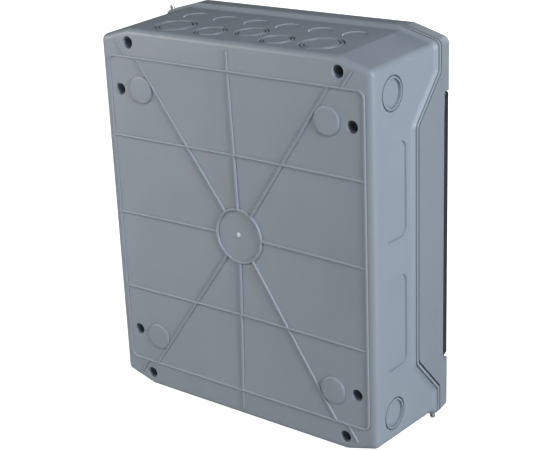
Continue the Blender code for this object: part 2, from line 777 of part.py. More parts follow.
def main():
    clear_scene()
    grey = material("enclosure_grey", GREY, 0.55)
    plastic_dark = material("screw_grey", INNER_GREY, 0.5)
    rubber = material("seal_rubber", DARK, 0.8)
    steel = material("zinc_steel", STEEL, 0.35, 1.0)
    fastener = material("fastener_steel", STEEL, 0.3, 1.0)
    brass = material("brass", BRASS, 0.3, 1.0)
    smoke = material("smoked_window", SMOKE, 0.1, alpha=0.45)
    holders = {"upper": material("neutral_blue", BLUE, 0.45), "lower": material("earth_green", GREEN, 0.45)}

    shell = make_base_shell(grey)
    inside = [make_base_seal(rubber)]
    for number, corner in enumerate(CORNERS, 1):
        inside.append(make_wall_plug(f"wall_plug_{number}", corner, rubber))
    for number, side in enumerate((1, -1), 1):
        inside.append(make_sealing_screw(f"sealing_screw_{number}", side, fastener))
    inside += make_inner_frame(steel, fastener, holders, brass)
    ride_on(shell, *inside)

    cover = make_front_cover(grey)
    fitted = [make_door_seal(rubber)]
    for number, corner in enumerate(CORNERS, 1):
        fitted.append(make_cover_screw(f"cover_screw_{number}", corner, plastic_dark))
    for name, row in (("blanking_strip_upper", ROW_HEIGHT), ("blanking_strip_lower", -ROW_HEIGHT)):
        fitted.append(make_blanking_strip(name, row, grey))
    door = make_window_door(smoke)
    pins = [make_hinge_pin("hinge_pin_left", -1, fastener), make_hinge_pin("hinge_pin_right", 1, fastener)]
    ride_on(door, *pins)
    ride_on(cover, door, *fitted)


main()
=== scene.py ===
"""The looks of the wiring enclosure: fine moulded shells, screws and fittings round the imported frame.

Everything is in metres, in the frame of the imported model. As in the design, a shape's points are
(across, depth, height): depth counts from the wall towards the door, and height from the middle.
"""

import json
import math

import bmesh
import bpy
from mathutils import Matrix, Vector


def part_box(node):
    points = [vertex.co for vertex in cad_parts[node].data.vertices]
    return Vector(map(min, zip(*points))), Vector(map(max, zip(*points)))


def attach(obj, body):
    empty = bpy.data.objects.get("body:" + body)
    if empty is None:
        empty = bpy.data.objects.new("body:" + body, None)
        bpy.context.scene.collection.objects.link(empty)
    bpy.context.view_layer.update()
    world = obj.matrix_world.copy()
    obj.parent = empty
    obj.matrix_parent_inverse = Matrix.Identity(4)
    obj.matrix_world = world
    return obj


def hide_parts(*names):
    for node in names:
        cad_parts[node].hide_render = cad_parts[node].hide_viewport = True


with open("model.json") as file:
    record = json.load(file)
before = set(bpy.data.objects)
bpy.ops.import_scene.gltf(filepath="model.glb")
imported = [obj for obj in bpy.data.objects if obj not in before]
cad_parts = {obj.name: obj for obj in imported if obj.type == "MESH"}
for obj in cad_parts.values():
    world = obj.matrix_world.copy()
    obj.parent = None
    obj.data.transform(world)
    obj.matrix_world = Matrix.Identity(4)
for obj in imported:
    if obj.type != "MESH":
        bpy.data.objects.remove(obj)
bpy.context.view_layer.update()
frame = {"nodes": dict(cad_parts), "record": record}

# --------------------------------------------------------------- places taken from the frame

# how far the rear ribs stand out of the rear face
RIB_PROUD = 0.0011
BOX_LOW, BOX_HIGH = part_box("base_shell")
DOOR_FRONT_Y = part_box("window_door")[0][1]
COVER_FRONT_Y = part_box("front_cover")[0][1]
REAR_Y = BOX_HIGH[1] - RIB_PROUD
MIDDLE_Z = (BOX_LOW[2] + BOX_HIGH[2]) / 2

LIP_HALF_WIDTH = BOX_HIGH[0]
LIP_HALF_HEIGHT = MIDDLE_Z
EAR_DEPTH = REAR_Y - BOX_LOW[1]
COVER_DEPTH = REAR_Y - COVER_FRONT_Y
DOOR_FRONT = REAR_Y - DOOR_FRONT_Y

# ---------------------------------------------------------------------------- sizes, back box

REAR_HALF_WIDTH = 0.1357
REAR_HALF_HEIGHT = 0.1624
SIDE_DRAFT = 0.008
TOP_DRAFT = 0.036
CHAMFER_START = 0.106
REAR_DROP = 0.0084
LIP_DROP = 0.0090
REAR_ROUNDING = 0.0046
CORNER_RADIUS = 0.0060
CHAMFER_RADIUS = 0.0100
WALL = 0.0028
FLOOR = 0.0032
FLOOR_MIDDLE = 0.0082

WAIST_DEPTH = 0.0576
EAR_HEIGHT = 0.1349
WAIST_HEIGHT = 0.0992
SEAM_RADIUS = 0.0040
SEAM_GAP = 0.0014
# how far the slanted stretch of the joint line moves up for each metre that the line moves back
SLOPE_SHIFT = 0.389
LIP_THICKNESS = 0.0038
# how far behind the joint line the wall starts to flare, and how far it gets from wall to lip
FLARE = 0.0078
FLARE_SHARE = 0.86
LIP_GROOVE_SHARE = 0.26

FIELD_HALF_WIDTH = 0.1280
FIELD_HALF_HEIGHT = 0.1387
FIELD_CORNER = 0.0060
DISH = 0.0054
RIB_HALF = 0.00118
# how much prouder a rib is at the middle of the dish, and how deep its foot goes into the wall
RIB_GAIN = 0.0007
RIB_FOOT = 0.0012
CROSS_RIBS = (-0.0696, 0.0, 0.0696)
CENTRE_RIB_END = 0.1554
RING_RADIUS = 0.0230
DIAGONAL = (0.0972, 0.1387)
# a short rib from the field's frame towards each corner, its two ends
STUB = ((0.1085, 0.1392), (0.1180, 0.1525))
DISC_RADIUS = 0.0118

COVER_POST = (0.1053, 0.1507)
WALL_HOLE = (0.1172, 0.1103)
FRAME_POST = (0.0941, 0.1121)
BORE_RADIUS = 0.0051
POST_ROOT = 0.0025
POST_TIP = 0.0880
WEB_HALF = 0.0010
WEB_TIP = 0.0780
CORNERS = ((-1, 1), (1, 1), (-1, -1), (1, -1))

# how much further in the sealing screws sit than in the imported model
SCREWED_IN = 0.0022

# (across, depth, outer ring radius, inner ring radius), mirrored left to right
KNOCKOUTS = (
    (0.0, 0.0333, 0.0142, 0.0113),
    (0.0335, 0.0221, 0.0142, 0.0113),
    (0.0734, 0.0259, 0.0180, 0.0143),
)
# places across of the small knockouts, mirrored left to right
SMALL_KNOCKOUTS = (0.0162, 0.0486, 0.0810)
SMALL_DEPTH = 0.0595
SMALL_RADIUS = 0.0099
# (depth, height, outer ring radius, inner ring radius), mirrored both ways
SIDE_KNOCKOUT = (0.0261, 0.1322, 0.0141, 0.0113)
PANEL_DEPTHS = (0.0148, 0.0446)
PANEL_HEIGHTS = (0.0155, 0.0932)
PANEL_RADIUS = 0.0075

# ---------------------------------------------------------------------- sizes, cover and door

COVER_FRONT_HALF_WIDTH = 0.1375
COVER_ROUNDING = 0.0026
COVER_PLATE = 0.0030
SKIRT = 0.0025
FRONT_BLOCK = (0.1352, 0.1200)
STIFFENERS = (-0.070, -0.035, 0.0, 0.035, 0.070)
STIFFENER_SPAN = (0.1215, 0.1640)
STIFFENER_HALF = 0.0008
STEP_DEPTH = 0.1007
STEP_TOP = 0.1175
STEP_FOOT = -0.1137
# a distance across that is past the cover's sides, for cutters
PAST_SIDE = 0.150
SCOOP_HALF_WIDTH = 0.0240
TUB_HALF_WIDTH = 0.1180
TUB_HALF_HEIGHT = 0.1040
TUB_DEPTH = 0.0780
TUB_WALL = 0.0025
ROW_HEIGHT = 0.0625
WINDOW_HALF_WIDTH = 0.1080
WINDOW_HALF_HEIGHT = 0.0230

DOOR_SKIRT_BACK = 0.0981
REBATE_DEPTH = 0.0977
# inner limits of the rebate, across and at the foot
REBATE = (0.1328, -0.1098)
DOOR_HALF_WIDTH = 0.1360
DOOR_PLATE = 0.0030
DOOR_CHEEK = 0.0026
DOOR_BOTTOM = -0.1130
DOOR_SLANT = 0.0026
HINGE_RADIUS = 0.0031
HINGE_HEIGHT = 0.1139
HINGE_DEPTH = DOOR_FRONT - HINGE_RADIUS
LUG_PLACE = 0.1265
LUG_HALF_WIDTH = 0.0021
PIN_BORE = 0.0015


def place(across, depth, height):
    """World position of a point given across, in depth from the wall and in height from the middle."""
    return Vector((across, REAR_Y - depth, MIDDLE_Z + height))


# ------------------------------------------------------------------------------- materials


def start_material(name):
    """A new material with its node tree and its shader."""
    made = bpy.data.materials.new(name)
    made.use_nodes = True
    tree = made.node_tree
    return made, tree, tree.nodes["Principled BSDF"]


def add_node(tree, kind, inputs=(), **settings):
    """A new node with those values on its inputs and on itself."""
    made = tree.nodes.new(kind)
    for key, value in settings.items():
        setattr(made, key, value)
    for key, value in dict(inputs).items():
        made.inputs[key].default_value = value
    return made


def noise(tree, scale, detail=3.0, roughness=0.5, stretch=(1, 1, 1)):
    """A noise factor in object space, finer along an axis where stretch is higher."""
    coords = add_node(tree, "ShaderNodeTexCoord")
    mapping = add_node(tree, "ShaderNodeMapping", {"Scale": stretch})
    made = add_node(tree, "ShaderNodeTexNoise", {"Scale": scale, "Detail": detail, "Roughness": roughness})
    tree.links.new(coords.outputs["Object"], mapping.inputs["Vector"])
    tree.links.new(mapping.outputs["Vector"], made.inputs["Vector"])
    return made.outputs["Fac"]


def vary_colour(tree, shader, colour, spread, factor):
    """Base colour that drifts by spread to each side as factor goes from low to high."""
    dark = [c * (1 - spread) for c in colour]
    light = [min(c * (1 + spread), 1.0) for c in colour]
    made = add_node(tree, "ShaderNodeValToRGB")
    for stop, (position, shade) in zip(made.color_ramp.elements, ((0.35, dark), (0.65, light))):
        stop.position = position
        stop.color = (*shade, 1.0)
    tree.links.new(factor, made.inputs["Fac"])
    tree.links.new(made.outputs["Color"], shader.inputs["Base Color"])


def vary_roughness(tree, shader, low, high, factor):
    limits = {"From Min": 0.3, "From Max": 0.7, "To Min": low, "To Max": high}
    made = add_node(tree, "ShaderNodeMapRange", limits)
    tree.links.new(factor, made.inputs["Value"])
    tree.links.new(made.outputs["Result"], shader.inputs["Roughness"])


# A Mix node has sockets of one name for each kind of data, so its colour sockets go by number.
MIX_COLOUR_A = 6
MIX_COLOUR_B = 7
MIX_COLOUR_RESULT = 2


def whiten_spot(made, centre, radius, colour):
    """A small pale spot in the base colour, as where a moulding gate was broken off."""
    tree = made.node_tree
    shader = tree.nodes["Principled BSDF"]
    coords = add_node(tree, "ShaderNodeTexCoord")
    away = add_node(tree, "ShaderNodeVectorMath", {1: centre}, operation="DISTANCE")
    tree.links.new(coords.outputs["Object"], away.inputs[0])
    limits = {"From Min": radius, "From Max": radius * 1.6, "To Min": 1.0, "To Max": 0.0}
    share = add_node(tree, "ShaderNodeMapRange", limits)
    tree.links.new(away.outputs["Value"], share.inputs["Value"])
    blend = add_node(tree, "ShaderNodeMix", {MIX_COLOUR_B: (*colour, 1.0)}, data_type="RGBA")
    tree.links.new(share.outputs["Result"], blend.inputs["Factor"])
    base = shader.inputs["Base Color"]
    tree.links.new(base.links[0].from_socket, blend.inputs[MIX_COLOUR_A])
    tree.links.new(blend.outputs[MIX_COLOUR_RESULT], base)


def add_bump(tree, shader, factor, distance):
    made = add_node(tree, "ShaderNodeBump", {"Distance": distance, "Strength": 1.0})
    tree.links.new(factor, made.inputs["Height"])
    tree.links.new(made.outputs["Normal"], shader.inputs["Normal"])


def moulded_plastic(name, colour, roughness, spread=0.03):
    """Injection-moulded thermoplastic: faint drift of colour and gloss, and a fine spark-eroded grain."""
    made, tree, shader = start_material(name)
    vary_colour(tree, shader, colour, spread, noise(tree, 14.0, 4.0, 0.6))
    vary_roughness(tree, shader, roughness - 0.05, roughness + 0.07, noise(tree, 55.0, 4.0, 0.65))
    add_bump(tree, shader, noise(tree, 2600.0, 2.0, 0.6), 0.00002)
    return made


def metal(name, colour, roughness, stretch=(1, 1, 1)):
    """Bare or plated metal. Its marks are narrow along an axis where stretch is high."""
    made, tree, shader = start_material(name)
    vary_colour(tree, shader, colour, 0.08, noise(tree, 60.0, 5.0, 0.6))
    vary_roughness(tree, shader, roughness - 0.07, roughness + 0.12, noise(tree, 240.0, 4.0, 0.6, stretch))
    add_bump(tree, shader, noise(tree, 900.0, 3.0, 0.6, stretch), 0.000012)
    shader.inputs["Metallic"].default_value = 1.0
    return made


def elastomer(name, colour):
    made, tree, shader = start_material(name)
    vary_colour(tree, shader, colour, 0.15, noise(tree, 90.0))
    vary_roughness(tree, shader, 0.65, 0.85, noise(tree, 300.0))
    add_bump(tree, shader, noise(tree, 1800.0, 2.0), 0.00003)
    return made


def smoked_glass(name, colour, alpha):
    """Smoked clear plastic: glossy, with a trace of haze and moulding ripple."""
    made, tree, shader = start_material(name)
    vary_colour(tree, shader, colour, 0.1, noise(tree, 20.0))
    vary_roughness(tree, shader, 0.06, 0.14, noise(tree, 70.0))
    add_bump(tree, shader, noise(tree, 25.0, 1.0), 0.00004)
    shader.inputs["Alpha"].default_value = alpha
    shader.inputs["Specular IOR Level"].default_value = 0.32
    return made


GREY = (0.250, 0.278, 0.312)
# The cover is the same plastic as the box. This darker grey is painted shade, standing in for the lesser
# light that falls on the cover.
COVER_GREY_PAINTED_SHADE = [0.85 * c for c in GREY]

MATERIALS = {
    "enclosure_grey": moulded_plastic("enclosure_plastic", GREY, 0.48, 0.025),
    "screw_grey": moulded_plastic("screw_plastic", (0.36, 0.39, 0.42), 0.42),
    "seal_rubber": elastomer("seal_elastomer", (0.022, 0.023, 0.025)),
    "zinc_steel": metal("zinc_plated_sheet", (0.62, 0.63, 0.62), 0.34, (1, 1, 12)),
    "fastener_steel": metal("plated_fastener", (0.43, 0.42, 0.37), 0.40),
    "brass": metal("drawn_brass", (0.80, 0.60, 0.28), 0.28, (1, 14, 14)),
    "smoked_window": smoked_glass("smoked_plastic", (0.002, 0.007, 0.009), 0.92),
    "neutral_blue": moulded_plastic("blue_holder", (0.035, 0.14, 0.42), 0.4),
    "earth_green": moulded_plastic("green_holder", (0.05, 0.26, 0.09), 0.4),
}
GATE_CENTRE = place(0.0008, DISH, 0.0008)
whiten_spot(MATERIALS["enclosure_grey"], GATE_CENTRE, 0.0016, (0.62, 0.64, 0.67))
# The cover's material is the box's plastic, made darker with painted shade.
COVER_MATERIAL_PAINTED_SHADE = moulded_plastic("cover_plastic_painted_shade", COVER_GREY_PAINTED_SHADE, 0.46, 0.025)


# ---------------------------------------------------------------------------- mesh helpers


def add_faces(bm, near, far):
    """Faces between two rings of as many vertices, triangles where a ring is one vertex repeated."""
    for k in range(len(near)):
        following = (k + 1) % len(near)
        corners = [near[k], near[following], far[following], far[k]]
        unique = [v for i, v in enumerate(corners) if v not in corners[:i]]
        if len(unique) > 2:
            bm.faces.new(unique)


def add_ring(bm, points):
    return [bm.verts.new(point) for point in points]


def loft(bm, rings):
    """Walls between rings of (across, depth, height) points. Returns the rings' vertices."""
    made = [add_ring(bm, [place(*point) for point in ring]) for ring in rings]
    for near, far in zip(made, made[1:]):
        add_faces(bm, near, far)
    return made


def revolve(bm, profile, matrix, segments):
    """Turns (radius, height) points round the matrix's Z. A profile that starts and ends at radius 0
    makes a solid; any other is closed on itself and makes a ring."""
    turns = [2 * math.pi * k / segments for k in range(segments)]
    rings = []
    for radius, height in profile:
        if radius == 0:
            rings.append([bm.verts.new(matrix @ Vector((0, 0, height)))] * segments)
        else:
            points = [Vector((radius * math.cos(t), radius * math.sin(t), height)) for t in turns]
            rings.append(add_ring(bm, [matrix @ point for point in points]))
    for near, far in zip(rings, rings[1:]):
        add_faces(bm, near, far)
    if profile[0][0] != 0:
        add_faces(bm, rings[-1], rings[0])


def facing(centre, normal):
    """A matrix at centre whose Z points along normal."""
    turn = Vector(normal).to_track_quat("Z", "Y").to_matrix().to_4x4()
    return Matrix.Translation(centre) @ turn


def towards_door(across, height):
    """A matrix at depth 0 whose Z runs from the wall to the door."""
    return facing(place(across, 0.0, height), (0, -1, 0))


def arc(centre, radius, start, end, steps):
    """Points on a circle from start to end, in degrees."""
    turns = [math.radians(start + (end - start) * k / steps) for k in range(steps + 1)]
    return [(centre[0] + radius * math.cos(t), centre[1] + radius * math.sin(t)) for t in turns]


def rounded_rectangle(half_width, half_height, radius, steps=6, centre=(0, 0)):
    points = []
    for corner, (x, y) in enumerate(((1, 1), (-1, 1), (-1, -1), (1, -1))):
        middle = (centre[0] + x * (half_width - radius), centre[1] + y * (half_height - radius))
        points += arc(middle, radius, 90 * corner, 90 * corner + 90, steps)
    return points


def stack(bm, levels, to_world):
    """Joins flat outlines, given as (level, points), into one closed solid. to_world(a, b, level)."""
    made = [add_ring(bm, [to_world(a, b, level) for a, b in points]) for level, points in levels]
    for near, far in zip(made, made[1:]):
        add_faces(bm, near, far)
    bm.faces.new(made[0])
    bm.faces.new(made[-1])


def on_front(across, height, level):
    """Places an outline drawn on the front at a depth."""
    return place(across, level, height)


def on_section(depth, height, level):
    """Places an outline drawn on the side at a distance across."""
    return place(level, depth, height)


def pocket(bm, half, radius, depths, flare, centre=(0, 0), steps=6):
    """A rounded rectangular cutter along the depth, opened out by flare at its last depth."""
    floor, mouth = depths
    plain = rounded_rectangle(half[0], half[1], radius, steps, centre)
    wide = rounded_rectangle(half[0] + flare, half[1] + flare, radius + flare, steps, centre)
    beyond = mouth + 0.02
    stack(bm, [(floor, plain), (mouth - flare, plain), (mouth, wide), (beyond, wide)], on_front)


def box(bm, across, depth, height, soft=0.0):
    """A box between pairs of limits. soft rounds its edges."""
    low = place(across[0], depth[1], height[0])
    high = place(across[1], depth[0], height[1])
    size = Vector([abs(b - a) for a, b in zip(low, high)])
    matrix = Matrix.Translation((low + high) / 2) @ Matrix.Diagonal((*size, 1.0))
    made = bmesh.ops.create_cube(bm, size=1.0, matrix=matrix)
    if soft:
        edges = {edge for vert in made["verts"] for edge in vert.link_edges}
        bmesh.ops.bevel(bm, geom=list(edges), offset=soft, segments=2, profile=0.5, affect="EDGES")


def to_object(name, bm):
    bmesh.ops.recalc_face_normals(bm, faces=bm.faces[:])
    mesh = bpy.data.meshes.new(name)
    bm.to_mesh(mesh)
    bm.free()
    made = bpy.data.objects.new(name, mesh)
    bpy.context.scene.collection.objects.link(made)
    return made


def bake_modifiers(obj):
    """Replaces the object's mesh with what its modifiers make of it."""
    shape = obj.evaluated_get(bpy.context.evaluated_depsgraph_get())
    mesh = bpy.data.meshes.new_from_object(shape)
    obj.modifiers.clear()
    old = obj.data
    obj.data = mesh
    bpy.data.meshes.remove(old)


def combine(obj, build, operation="DIFFERENCE", overlapping=False):
    """Cuts or joins what build(bm) makes. overlapping is for tools whose own parts overlap."""
    bm = bmesh.new()
    build(bm)
    tool = to_object("tool", bm)
    modifier = obj.modifiers.new("shape", "BOOLEAN")
    modifier.operation = operation
    modifier.object = tool
    modifier.solver = "EXACT" if overlapping else "MANIFOLD"
    modifier.use_self = overlapping
    bake_modifiers(obj)
    bpy.data.objects.remove(tool)


SHARP_ANGLE = math.radians(32)


def finish_piece(obj, slot, body, node, material=None):
    """Smooths the piece's shading, gives it its material, hangs it on the body it rides on and hides the node
    it replaces.
    """
    mesh = obj.data
    mesh.materials.clear()
    mesh.materials.append(material or MATERIALS[slot])
    mesh.shade_smooth()
    mesh.set_sharp_from_angle(angle=SHARP_ANGLE)
    weights = obj.modifiers.new("normals", "WEIGHTED_NORMAL")
    weights.keep_sharp = True
    weights.weight = 100
    bake_modifiers(obj)
    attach(obj, body)
    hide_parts(node)


# -------------------------------------------------------------------------------- outlines


def corner_points(half_width, half_height, drop, inset):
    """The two corners of one quadrant of the outline after moving every edge in by inset."""
    run = half_width - CHAMFER_START
    length = math.hypot(run, drop)
    normal = (drop / length, run / length)
    reach = normal[0] * half_width + normal[1] * (half_height - drop) - inset
    top = half_height - inset
    side = half_width - inset
    first = ((reach - normal[1] * top) / normal[0], top)
    second = (side, (reach - normal[0] * side) / normal[1])
    return first, second


def fillet(before, corner, after, radius, steps):
    """Points of an arc of that radius that rounds corner between its two neighbours."""
    back = (Vector(before) - Vector(corner)).normalized()
    ahead = (Vector(after) - Vector(corner)).normalized()
    half_angle = back.angle(ahead) / 2
    reach = radius / math.tan(half_angle)
    middle = Vector(corner) + (back + ahead).normalized() * (radius / math.sin(half_angle))
    start = Vector(corner) + back * reach - middle
    end = Vector(corner) + ahead * reach - middle
    points = []
    for k in range(steps + 1):
        share = k / steps
        direction = start.slerp(end, share) if start.angle(end) > 1e-6 else start
        points.append(tuple(middle + direction.normalized() * radius))
    return points


def seam_side(back):
    """The joint line down one side as (height, depth), moved towards the wall by back."""
    shift = SLOPE_SHIFT * back
    top = (EAR_HEIGHT + shift + 0.02, EAR_DEPTH - back)
    ear = (EAR_HEIGHT + shift, EAR_DEPTH - back)
    waist = (WAIST_HEIGHT + shift, WAIST_DEPTH - back)
    middle = (0.0, WAIST_DEPTH - back)
    outer = fillet(top, ear, waist, max(SEAM_RADIUS - back, 0.0012), 4)
    inner = fillet(ear, waist, middle, SEAM_RADIUS + max(back, 0.0), 4)
    return outer + inner


def quadrant(side_path, ear, half_width, half_height, drop, inset):
    """Top right quadrant from the middle of the top down to the middle of the side."""
    first, second = corner_points(half_width(ear), half_height(ear), drop, inset)
    top_level = first[1]
    run = [(x * CHAMFER_START, top_level) for x in (0.0, 0.3, 0.6)]
    run += fillet((0, top_level), first, second, CHAMFER_RADIUS, 4)
    run += fillet(first, second, (second[0], 0), max(CORNER_RADIUS - inset, 0.0012), 8)
    points = [(x, ear, z) for x, z in run]
    points += [(half_width(depth) - inset, depth, height) for height, depth in side_path]
    last = side_path[-1][1]
    points += [(half_width(last) - inset, last, height) for height in (0.070, 0.035, 0.0)]
    return points


def whole(points):
    """Mirrors a quadrant into the whole outline. Its ends lie on the two middle lines."""
    right = points + [(x, d, -z) for x, d, z in reversed(points[:-1])]
    return right + [(-x, d, z) for x, d, z in reversed(right[1:-1])]


def box_half_width(depth):
    return REAR_HALF_WIDTH + SIDE_DRAFT * depth


def box_half_height(depth):
    return REAR_HALF_HEIGHT + TOP_DRAFT * depth


# The lip and the cover are as wide and as tall at every depth, so these three take no notice of it.


def lip_half_width(depth):
    return LIP_HALF_WIDTH


def lip_half_height(depth):
    return LIP_HALF_HEIGHT


def front_half_width(depth):
    return COVER_FRONT_HALF_WIDTH


def level_outline(depth, half_width, half_height, inset=0.0, drop=LIP_DROP):
    """The outline at one depth. Its columns match those of a seam outline."""
    side = [(height, depth) for height, _ in seam_side(0.0)]
    return whole(quadrant(side, depth, half_width, half_height, drop, inset))


def seam_outline(back, half_width, half_height, inset=0.0, drop=LIP_DROP):
    return whole(quadrant(seam_side(back), EAR_DEPTH - back, half_width, half_height, drop, inset))


def mix(first, second, share):
    return [tuple(a + (b - a) * share for a, b in zip(p, q)) for p, q in zip(first, second)]


# -------------------------------------------------------------------------------- back box


def dish_profile(share):
    """Depth of the dished rear field along one axis, 1 at the middle and 0 at its edge.

    It is half a parabola and half a straight fall, rounded at the middle."""
    share = min(abs(share), 1.0)
    rounding = 0.06
    fall = (math.hypot(share, rounding) - rounding) / (math.hypot(1, rounding) - rounding)
    return max(1.0 - 0.5 * share * share - 0.5 * fall, 0.0)


def dish(across, height):
    return DISH * dish_profile(across / FIELD_HALF_WIDTH) * dish_profile(height / FIELD_HALF_HEIGHT)


def field_edge(point):
    """Where a point of the outline falls on the edge of the dished field."""
    x = point[0] * FIELD_HALF_WIDTH / REAR_HALF_WIDTH
    z = point[2] * FIELD_HALF_HEIGHT / REAR_HALF_HEIGHT
    reach = max(abs(x) / FIELD_HALF_WIDTH, abs(z) / FIELD_HALF_HEIGHT)
    return x / reach, z / reach


def rear_rings(outline):
    """Rings from the middle of the dished rear face out to its border."""
    edge = [field_edge(point) for point in outline]
    steps = 18
    rings = []
    for step in range(1, steps + 1):
        share = step / steps
        rings.append([(x * share, dish(x * share, z * share), z * share) for x, z in edge])
    return rings


def wall_rings():
    """Rings from the rear border round the rear edge, up the walls, over the lip and down inside."""
    wide, high, lip_wide, lip_high = box_half_width, box_half_height, lip_half_width, lip_half_height
    rings = []
    for angle in (90, 72, 54, 36, 18, 0):
        turn = math.radians(angle)
        inset = REAR_ROUNDING * (1 - math.cos(turn))
        depth = REAR_ROUNDING * (1 - math.sin(turn))
        rings.append(level_outline(depth, wide, high, inset, REAR_DROP))
    steps = 6
    for step in range(steps + 1):
        back = FLARE - (FLARE - LIP_THICKNESS) * step / steps
        low = seam_outline(back, wide, high, 0.0, REAR_DROP)
        lip = seam_outline(back, lip_wide, lip_high)
        rings.append(mix(low, lip, FLARE_SHARE * (step / steps) ** 1.5))
    for back in (0.0037, 0.0024):
        low = seam_outline(back, wide, high, 0.0, REAR_DROP)
        rings.append(mix(low, seam_outline(back, lip_wide, lip_high), LIP_GROOVE_SHARE))
    for back, inset in ((0.0023, 0.0002), (0.0021, 0.0), (0.0005, 0.0), (0.0001, 0.0002)):
        rings.append(seam_outline(back, lip_wide, lip_high, inset))
    rings.append(seam_outline(0.0, lip_wide, lip_high, 0.0006))
    rings.append(seam_outline(0.0, wide, high, WALL, REAR_DROP))
    rings.append(level_outline(0.0120, wide, high, WALL, REAR_DROP))
    rings.append(level_outline(FLOOR + 0.0022, wide, high, WALL + 0.0003, REAR_DROP))
    rings.append(level_outline(FLOOR + 0.0006, wide, high, WALL + 0.0012, REAR_DROP))
    rings.append(level_outline(FLOOR, wide, high, WALL + 0.0030, REAR_DROP))
    return rings


def box_walls(bm):
    """The box's outer and inner skin, from the middle of its dished back round to its inner floor."""
    walls = wall_rings()
    made = loft(bm, rear_rings(walls[0]) + walls)
    middle = bm.verts.new(place(0, dish(0, 0), 0))
    for k, vert in enumerate(made[0]):
        bm.faces.new((middle, vert, made[0][(k + 1) % len(made[0])]))
    inner = [(x * 0.5, FLOOR_MIDDLE, z * 0.5) for x, _, z in walls[-1]]
    rim = add_ring(bm, [place(*point) for point in inner])
    add_faces(bm, made[-1], rim)
    bm.faces.new(rim)


def sweep(bm, path, closed=False, width=RIB_HALF):
    """A rounded rib along path, a list of (across, height) points, that follows the dished face."""
    count = len(path)
    rings = []
    for k, point in enumerate(path):
        before = path[k - 1] if closed or k else point
        after = path[(k + 1) % count] if closed or k + 1 < count else point
        along = (Vector(after) - Vector(before)).normalized()
        back = (Vector(point) - Vector(before)).normalized() if point != before else along
        widen = 1 / max(along.dot(back), 0.5)
        sideways = Vector((-along.y, along.x)) * widen
        level = dish(*point)
        rise = RIB_PROUD + RIB_GAIN * level / DISH
        section = [(-width, level + RIB_FOOT)]
        for step in range(9):
            turn = math.pi * step / 8
            section.append((-width * math.cos(turn), level - rise * math.sin(turn) ** 0.8))
        section.append((width, level + RIB_FOOT))
        points = [place(point[0] + sideways.x * s, d, point[1] + sideways.y * s) for s, d in section]
        rings.append(add_ring(bm, points))
    for near, far in zip(rings, rings[1:]):
        add_faces(bm, near, far)
    if closed:
        add_faces(bm, rings[-1], rings[0])
    else:
        bm.faces.new(rings[0])
        bm.faces.new(rings[-1])


def line(start, end, steps):
    return [tuple(a + (b - a) * k / steps for a, b in zip(start, end)) for k in range(steps + 1)]


def rear_ribs(bm):
    frame_path = rounded_rectangle(FIELD_HALF_WIDTH, FIELD_HALF_HEIGHT, FIELD_CORNER, 8)
    sweep(bm, frame_path, closed=True)
    sweep(bm, arc((0, 0), RING_RADIUS, 0, 355, 71), closed=True)
    inside = RING_RADIUS - RIB_HALF / 2
    for side in (-1, 1):
        sweep(bm, line((0, side * inside), (0, side * CENTRE_RIB_END), 24))
        for height in CROSS_RIBS:
            start = side * inside if height == 0 else 0.0
            sweep(bm, line((start, height), (side * (FIELD_HALF_WIDTH + 0.0004), height), 20))
    length = math.hypot(*DIAGONAL)
    near = [c * inside / length for c in DIAGONAL]
    for x, z in CORNERS:
        sweep(bm, line((x * near[0], z * near[1]), (x * DIAGONAL[0], z * DIAGONAL[1]), 24))
        stub = [(x * a, z * b) for a, b in STUB]
        sweep(bm, line(*stub, 3), width=RIB_HALF * 0.8)


def rear_discs(bm):
    """Raised discs behind the frame posts, and the low boss of the gate mark at the centre."""
    top = -RIB_PROUD
    rim = DISC_RADIUS
    profile = [(0, 0.0030), (rim, 0.0030), (rim, top + 0.0009), (rim - 0.0003, top + 0.0005)]
    profile += [(rim - 0.0012, top + 0.0001), (rim - 0.0022, top), (0, top)]
    for x, z in CORNERS:
        revolve(bm, profile, towards_door(x * FRAME_POST[0], z * FRAME_POST[1]), 64)
    gate = [(0, 0.0065), (0.0024, 0.0065), (0.0022, DISH - 0.0004), (0.0014, DISH - 0.0009)]
    gate.append((0, DISH - 0.0010))
    revolve(bm, gate, towards_door(0.0, 0.0), 24)


def inner_posts(bm):
    """Inside: tapered cover posts with webs to the walls, wall-hole bosses and frame posts."""
    tip = POST_TIP
    post = [(0, POST_ROOT), (0.0078, POST_ROOT), (0.0070, tip - 0.0004), (0.0066, tip), (0, tip)]
    boss = [(0, 0.0005), (0.0084, 0.0005), (0.0080, 0.0137), (0.0077, 0.0140), (0, 0.0140)]
    stand = [(0, POST_ROOT), (0.0084, POST_ROOT), (0.0078, 0.0167), (0.0075, 0.0170), (0, 0.0170)]
    for x, z in CORNERS:
        across, up = x * COVER_POST[0], z * COVER_POST[1]
        revolve(bm, post, towards_door(across, up), 40)
        upright = sorted((up + z * 0.003, z * 0.1612))
        box(bm, (across - WEB_HALF, across + WEB_HALF), (POST_ROOT, WEB_TIP), upright)
        level = sorted((across + x * 0.003, x * 0.1345))
        box(bm, level, (POST_ROOT, WEB_TIP), (up - WEB_HALF, up + WEB_HALF))
        revolve(bm, boss, towards_door(x * WALL_HOLE[0], z * WALL_HOLE[1]), 40)
        revolve(bm, stand, towards_door(x * FRAME_POST[0], z * FRAME_POST[1]), 40)


